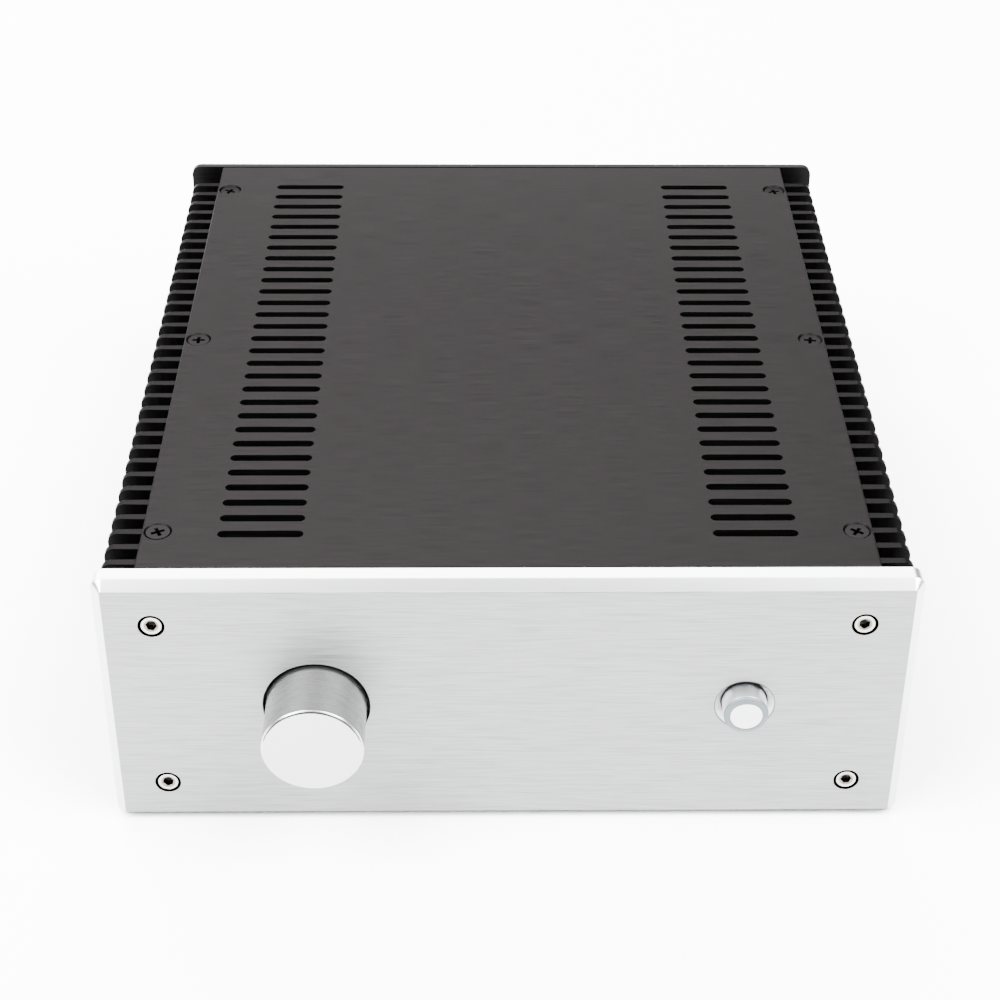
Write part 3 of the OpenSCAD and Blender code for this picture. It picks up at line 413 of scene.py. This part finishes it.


# painted shade inside the knob's, the button's and the screws' holes in the panel
mark_hollow(front, lambda c, n: inside_panel(c, KNOB, 16 * MM, 0.25 * MM)
            or inside_panel(c, BUTTON, 7.1 * MM, MOUTH + 0.1 * MM)
            or any(inside_panel(c, axis, 4 * MM, 0.25 * MM) for axis in panel_screws))
# painted shadow on the panel's bottom bevel, where it meets the floor
mark_hollow(front, lambda c, n: n.y < -0.5 and n.z < -0.5, 0.8)
# painted shade on the bevel round the button's mouth
mark_hollow(front, lambda c, n: n.y > -0.99 and c.y < FRONT_Y + 0.2 * MM
            and abs(math.hypot(c.x - BUTTON.x, c.z - BUTTON.z) - MOUTH_R) < 0.3 * MM, 0.6)
# painted shade in the cover's countersinks round the screw heads
mark_hollow(cover, lambda c, n: 87.2 * MM < c.z < 89.9 * MM
            and any(within(c, axis, 4.4 * MM, "y") for axis in plate_screws))
# painted shade on the rear panel's front face, seen behind the fins
mark_hollow(rear, lambda c, n: n.y < -0.9, 0.6)
for sink in sinks:
    # painted shade on the fins' sides and on the sink's wall between the fins
    mark_hollow(sink, lambda c, n: abs(n.y) > 0.9 and abs(c.x) > SINK_SIDE, 0.6)
    mark_hollow(sink, lambda c, n: abs(n.x) > 0.9 and abs(abs(c.x) - SINK_SIDE) < 0.1 * MM, 0.8)

# %% [markdown]
# The knob is a turned cylinder. It starts as a cylinder of its size. The back is inset and pushed in
# for the nut and the shaft, the outer edge gets the wide bevel that shows as a bright arc, and a small
# rounding lies between the bevel and the face. Its upper arc carries painted shade, which draws the thin
# dark line at the top of the face.

# %% Volume knob
def pick_faces(piece, test):
    """In edit mode, selects the faces whose middle and normal pass the test."""
    mesh = bmesh.from_edit_mesh(piece.data)
    mesh.faces.ensure_lookup_table()
    for face in mesh.faces:
        face.select_set(False)
    bpy.context.tool_settings.mesh_select_mode = (False, False, True)
    found = [f for f in mesh.faces if test(f.calc_center_median(), f.normal)]
    for face in found:
        face.select_set(True)
    mesh.select_flush_mode()
    bmesh.update_edit_mesh(piece.data)
    return len(found)


def turned_blank(name, centre, radius, front, back, sides=128):
    """A cylinder along Y from front to back, measured from the panel's face, left in edit mode."""
    if bpy.context.mode != "OBJECT":
        bpy.ops.object.mode_set(mode="OBJECT")
    bpy.ops.object.select_all(action="DESELECT")
    bpy.ops.mesh.primitive_cylinder_add(vertices=sides, radius=radius, depth=back - front,
                                        location=centre + Vector((0, (front + back) / 2, 0)),
                                        rotation=(math.pi / 2, 0, 0))
    piece = bpy.context.object
    piece.name = name
    bpy.ops.object.transform_apply(location=True, rotation=True, scale=True)
    bpy.ops.object.mode_set(mode="EDIT")
    return piece


def sink_face(depth, inset):
    """Insets the chosen face and pushes it along Y, towards the rear when depth is positive."""
    if inset:
        bpy.ops.mesh.inset(thickness=inset)
    bpy.ops.mesh.extrude_region_move(TRANSFORM_OT_translate={"value": (0, depth, 0)})


def cut(piece, tool):
    apply_modifier(piece, "BOOLEAN", operation="DIFFERENCE", object=tool, solver="EXACT")
    bpy.data.objects.remove(tool)


def cutter(kind, **settings):
    bpy.ops.object.select_all(action="DESELECT")
    getattr(bpy.ops.mesh, kind)(**settings)
    return bpy.context.object


def round_edges(piece, test, width, segments):
    """Bevels the edges whose two ends pass the test."""
    only(piece)
    bpy.ops.object.mode_set(mode="EDIT")
    bpy.ops.mesh.select_all(action="DESELECT")
    bpy.context.tool_settings.mesh_select_mode = (False, True, False)
    mesh = bmesh.from_edit_mesh(piece.data)
    for edge in mesh.edges:
        edge.select_set(test([v.co for v in edge.verts]))
    bmesh.update_edit_mesh(piece.data)
    bpy.ops.mesh.bevel(offset=width, segments=segments, affect="EDGES")
    bpy.ops.object.mode_set(mode="OBJECT")


TINY = 0.001 * MM
KNOB_R, KNOB_OUT, KNOB_BACK = 14.9 * MM, 20 * MM, 3 * MM
BEVEL, ROUNDING = 0.6 * MM, 0.35 * MM
HOLLOW_R, HOLLOW, BORE_R, BORE = 8.5 * MM, 5.5 * MM, 3.05 * MM, 10 * MM
SET_SCREW_R, SET_SCREW_Y = 1.55 * MM, -8 * MM

knob = turned_blank("volume_knob_turned", KNOB, KNOB_R, -KNOB_OUT, KNOB_BACK)
pick_faces(knob, lambda c, n: n.y > 0.9)
sink_face(-HOLLOW, KNOB_R - HOLLOW_R)
sink_face(-BORE, HOLLOW_R - BORE_R)
bpy.ops.object.mode_set(mode="OBJECT")

round_edges(knob, lambda ends: all(abs(e.y - (FRONT_Y - KNOB_OUT)) < TINY for e in ends), BEVEL, segments=1)
cut(knob, cutter("primitive_cylinder_add", vertices=32, radius=SET_SCREW_R, depth=KNOB_R + 1 * MM,
                 location=KNOB + Vector((0, SET_SCREW_Y, -(KNOB_R + 1 * MM) / 2))))
round_edges(knob, lambda ends: all(abs(e.y - (FRONT_Y - KNOB_OUT)) < TINY
                                   and math.hypot(e.x - KNOB.x, e.z - KNOB.z) < KNOB_R - BEVEL / 2 for e in ends),
            ROUNDING, segments=5)
broken_edges(knob, 0.06 * MM, angle=40)
even_shading(knob)
# painted shade on the upper arc of the rounding only, drawing a thin dark line at the top
mark_hollow(knob, lambda c, n: c.y < FRONT_Y - KNOB_OUT + 0.5 * MM and -0.985 < n.y < -0.73 and n.z > 0.12, 0.9)
settle(knob, "volume_control", ["volume_knob"], "turned_knob")

# %% [markdown]
# A socket-head screw has a hexagon pocket with a drilled point at its bottom. The pocket is cut with
# a six-sided tool, because its sharp corners are what glints. It is modelled once and copied.

# %% Front screws
def copies(pattern, name, places):
    """Copies of a pattern, each with its own mesh moved to its place."""
    made = []
    for i, matrix in enumerate(places, 1):
        mesh = pattern.data.copy()
        mesh.transform(matrix)
        piece = bpy.data.objects.new(f"{name}_{i}", mesh)
        bpy.context.scene.collection.objects.link(piece)
        made.append(piece)
    bpy.data.objects.remove(pattern)
    return made


HEAD_R, HEAD_H, SHANK_R, SHANK = 3.3 * MM, 4 * MM, 2 * MM, 14.7 * MM
SOCKET_R, SOCKET_DEEP, HEAD_SUNK = 1.5 * MM / math.cos(math.pi / 6), 2.4 * MM, 0.3 * MM
CHAMFER_R, RIM = 2.2 * MM, 0.35 * MM

origin = Vector((0, 0, 0))
screw = turned_blank("front_screw", origin, HEAD_R, 0, HEAD_H, sides=64)
pick_faces(screw, lambda c, n: n.y > 0.9)
sink_face(SHANK, HEAD_R - SHANK_R)
bpy.ops.object.mode_set(mode="OBJECT")
round_edges(screw, lambda ends: all(abs(e.y) < TINY for e in ends), RIM, segments=3)
cut(screw, cutter("primitive_cylinder_add", vertices=6, radius=SOCKET_R, depth=2 * SOCKET_DEEP,
                  rotation=(math.pi / 2, 0, 0)))
cut(screw, cutter("primitive_cone_add", vertices=32, radius1=SOCKET_R, radius2=0, depth=SOCKET_R,
                  location=(0, SOCKET_DEEP + SOCKET_R / 2 - 0.01 * MM, 0), rotation=(-math.pi / 2, 0, 0)))
cut(screw, cutter("primitive_cone_add", vertices=48, radius1=CHAMFER_R, radius2=0, depth=CHAMFER_R / 2,
                  location=(0, CHAMFER_R / 4 - 0.01 * MM, 0), rotation=(-math.pi / 2, 0, 0)))
even_shading(screw)
# painted shade in the hex socket, round the head where it sits in its bore, and lighter on the chamfer ring
mark_hollow(screw, lambda c, n: within(c, origin, 1.8 * MM) and 0.5 * MM < c.y < 5 * MM, 0.85)
mark_hollow(screw, lambda c, n: not within(c, origin, HEAD_R - RIM) and c.y > 0.01 * MM)
mark_hollow(screw, lambda c, n: within(c, origin, 2.3 * MM) and 0.01 * MM < c.y < 0.45 * MM, 0.7)
places = [Matrix.Translation(spot + Vector((0, HEAD_SUNK, 0))) @ Matrix.Rotation(math.radians(turn), 4, "Y")
          for spot, turn in zip(panel_screws, (12, 41, 24, 3))]
for piece in copies(screw, "front_screw_turned", places):
    settle(piece, "case", ["front_screws"], "steel_screw")

# %% [markdown]
# The cover's screws are countersunk with a cross recess. Each arm is a blade that narrows with
# depth. The six heads point different ways, as a hand-fitted cover's do.

# %% Cover and base screws
FLAT_R, FLAT_SUNK, FLAT_SHANK = 3.6 * MM, 0.5 * MM, 13.5 * MM
ARM, ARM_W, ARM_DEEP = 5.9 * MM, 1.5 * MM, 2.0 * MM
SINKS = {-1: (0.15, 0.3, 0.5), 1: (0.4, 0.5, 0.55)}


def blade(turn):
    """One arm of the cross: a block whose lower end is drawn in."""
    tool = cutter("primitive_cube_add", size=1, scale=(ARM, ARM_W, 2 * ARM_DEEP), rotation=(0, 0, turn))
    bpy.ops.object.transform_apply(location=False, rotation=True, scale=True)
    bpy.ops.object.mode_set(mode="EDIT")
    pick_faces(tool, lambda c, n: n.z < -0.9)
    bpy.ops.transform.resize(value=(0.42, 0.42, 1))
    bpy.ops.object.mode_set(mode="OBJECT")
    return tool


bpy.ops.object.select_all(action="DESELECT")
bpy.ops.mesh.primitive_cylinder_add(vertices=64, radius=FLAT_R, depth=0.2 * MM, location=(0, 0, -0.1 * MM))
flat = bpy.context.object
flat.name = "flat_screw"
bpy.ops.object.transform_apply(location=True, rotation=True, scale=True)
bpy.ops.object.mode_set(mode="EDIT")
pick_faces(flat, lambda c, n: n.z < -0.9)
bpy.ops.mesh.extrude_region_move(TRANSFORM_OT_translate={"value": (0, 0, -(FLAT_R - SHANK_R))})
bpy.ops.transform.resize(value=(SHANK_R / FLAT_R, SHANK_R / FLAT_R, 1))
bpy.ops.mesh.extrude_region_move(TRANSFORM_OT_translate={"value": (0, 0, -(FLAT_SHANK - FLAT_R + SHANK_R))})
bpy.ops.object.mode_set(mode="OBJECT")
cut(flat, blade(0))
cut(flat, blade(math.pi / 2))
broken_edges(flat, 0.12 * MM, angle=40)
even_shading(flat, 20)

# painted shade in the cross recess
mark_hollow(flat, lambda c, n: within(c, origin, 2.5 * MM, "y") and -3 * MM < c.z < -0.1 * MM, 0.8)

upper, lower = [], []
for side in (-1, 1):
    for i, y in enumerate(PLATE_SCREW_Y):
        turn = Matrix.Rotation(math.radians(40 + side * (15 + 25 * i)), 4, "Z")
        upper.append(Matrix.Translation((side * SCREW_X, y, TOP - SINKS[side][i] * MM)) @ turn)
        lower.append(Matrix.Translation((side * SCREW_X, y, FLAT_SUNK)) @ Matrix.Rotation(math.pi, 4, "X") @ turn)
spare = bpy.data.objects.new("flat_screw_below", flat.data.copy())
bpy.context.scene.collection.objects.link(spare)
for piece in copies(flat, "cover_screw_flat", upper):
    settle(piece, "case", ["cover_screws"], "black_screw")
for piece in copies(spare, "base_screw_flat", lower):
    settle(piece, "case", ["base_screws"], "black_screw")

# %% [markdown]
# The small rear fittings keep their exact solids, welded and with broken edges: fluted caps, collars,
# sockets and domed screws. They are few enough to take real bevels too.

# %% Break the edges of the small fittings
for i in range(1, 5):
    softened(f"post_{i}_cap", 0.12 * MM)
    softened(f"post_{i}_collar", 0.12 * MM)
for node in ("phono_upper_shell", "phono_lower_shell", "phono_upper_insulator", "phono_lower_insulator",
             "rear_screws", "inlet_blades", "switch_bracket", "button_cap"):
    softened(node, 0.08 * MM)
softened("button_light_ring", 0.05 * MM)
softened("button_disc", 0.08 * MM)

# %% [markdown]
# A white product picture has a white floor and soft light from all round. The panel's face mirrors
# the floor in front of it and the cover mirrors the space behind, so both need to be bright.

# %% Floor and light
bpy.ops.object.select_all(action="DESELECT")
bpy.ops.mesh.primitive_plane_add(size=12, location=(0, 0, 0))
floor = bpy.context.object
floor.name = "studio_floor"
floor_finish, floor_shader = plain_shader("pale_floor", 0.0, 0.9)
floor_shader.inputs["Base Color"].default_value = (0.96, 0.96, 0.96, 1)
floor.data.materials.append(floor_finish)

world = bpy.data.worlds.new("soft_studio")
world.use_nodes = True
world.node_tree.nodes["Background"].inputs["Color"].default_value = (1, 1, 1, 1)
world.node_tree.nodes["Background"].inputs["Strength"].default_value = 0.65
bpy.context.scene.world = world


def soft_box(name, location, target, size, watts):
    data = bpy.data.lights.new(name, "AREA")
    data.shape, data.size, data.size_y = "RECTANGLE", size[0], size[1]
    data.energy = watts
    lamp = bpy.data.objects.new(name, data)
    lamp.location = location
    lamp.rotation_mode = "QUATERNION"
    lamp.rotation_quaternion = (Vector(target) - Vector(location)).to_track_quat("-Z", "Y")
    bpy.context.scene.collection.objects.link(lamp)


soft_box("soft_box_rear", (-0.30, 1.35, 0.65), (0, 0, 0.05), (2.0, 1.8), 275)
soft_box("soft_box_above_left", (-1.0, -0.65, 1.5), (0, -0.1, 0.05), (1.2, 1.7), 290)
soft_box("soft_box_above_right", (1.0, -0.65, 1.5), (0, -0.1, 0.05), (1.2, 1.7), 290)
print("lights ready")
